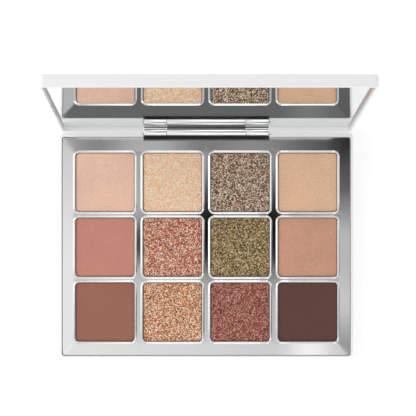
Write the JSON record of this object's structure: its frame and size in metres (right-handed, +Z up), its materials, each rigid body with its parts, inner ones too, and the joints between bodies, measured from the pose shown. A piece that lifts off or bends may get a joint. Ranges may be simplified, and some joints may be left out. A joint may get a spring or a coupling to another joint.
{
  "type": "eyeshadow palette",
  "caption": "Slim rectangular makeup compact standing open: mirrored lid on a knuckle hinge, bright metallised tray with a grid of square pressed powders.",
  "frame": {"origin": "centre of the base's underside", "axes": "+Z up from the underside, +X along the hinge axis, +Y from the front edge to the hinge"},
  "size_m": [0.13, 0.1146, 0.1077],
  "materials": {
    "white_plastic": "smooth satin gloss",
    "chrome_plastic": "vacuum metallised, polished",
    "plated_hinge": "bright plated",
    "mirror_glass": "silvered, polished",
    "pan_metal": "pressed, satin",
    "steel": "plain",
    "magnet": "nickel plated",
    "glue": "hot melt, waxy",
    "tape": "foam tape",
    "powder_r1c1": "pressed powder, light peach matte",
    "powder_r1c2": "pressed powder, champagne shimmer",
    "powder_r1c3": "pressed powder, taupe glitter",
    "powder_r1c4": "pressed powder, light tan matte",
    "powder_r2c1": "pressed powder, dusty rose matte",
    "powder_r2c2": "pressed powder, rose copper glitter",
    "powder_r2c3": "pressed powder, olive gold glitter",
    "powder_r2c4": "pressed powder, tan peach matte",
    "powder_r3c1": "pressed powder, warm brown matte",
    "powder_r3c2": "pressed powder, copper gold glitter",
    "powder_r3c3": "pressed powder, rose red shimmer",
    "powder_r3c4": "pressed powder, dark chocolate matte"
  },
  "bodies": {
    "base": {"base_shell": "white_plastic", "inner_tray": "chrome_plastic", "pan_r1c1": "pan_metal", "pan_r1c2": "pan_metal", "pan_r1c3": "pan_metal", "pan_r1c4": "pan_metal", "pan_r2c1": "pan_metal", "pan_r2c2": "pan_metal", "pan_r2c3": "pan_metal", "pan_r2c4": "pan_metal", "pan_r3c1": "pan_metal", "pan_r3c2": "pan_metal", "pan_r3c3": "pan_metal", "pan_r3c4": "pan_metal", "powder_r1c1": "powder_r1c1", "powder_r1c2": "powder_r1c2", "powder_r1c3": "powder_r1c3", "powder_r1c4": "powder_r1c4", "powder_r2c1": "powder_r2c1", "powder_r2c2": "powder_r2c2", "powder_r2c3": "powder_r2c3", "powder_r2c4": "powder_r2c4", "powder_r3c1": "powder_r3c1", "powder_r3c2": "powder_r3c2", "powder_r3c3": "powder_r3c3", "powder_r3c4": "powder_r3c4", "glue_dot_r1c1": "glue", "glue_dot_r1c2": "glue", "glue_dot_r1c3": "glue", "glue_dot_r1c4": "glue", "glue_dot_r2c1": "glue", "glue_dot_r2c2": "glue", "glue_dot_r2c3": "glue", "glue_dot_r2c4": "glue", "glue_dot_r3c1": "glue", "glue_dot_r3c2": "glue", "glue_dot_r3c3": "glue", "glue_dot_r3c4": "glue", "base_magnet_left": "magnet", "base_magnet_right": "magnet", "hinge_base_leaf": "plated_hinge", "hinge_pin": "steel"},
    "lid": {"lid_shell": "white_plastic", "hinge_lid_leaf": "plated_hinge", "mirror": "mirror_glass", "mirror_adhesive": "tape", "lid_keeper_left": "steel", "lid_keeper_right": "steel"}
  },
  "joints": [
    {"name": "lid_hinge", "type": "hinge", "parent": "base", "child": "lid", "pos_m": [0, 0.05, 0.0086], "axis": [1, 0, 0], "range_deg": [0, 95.45]}
  ]
}
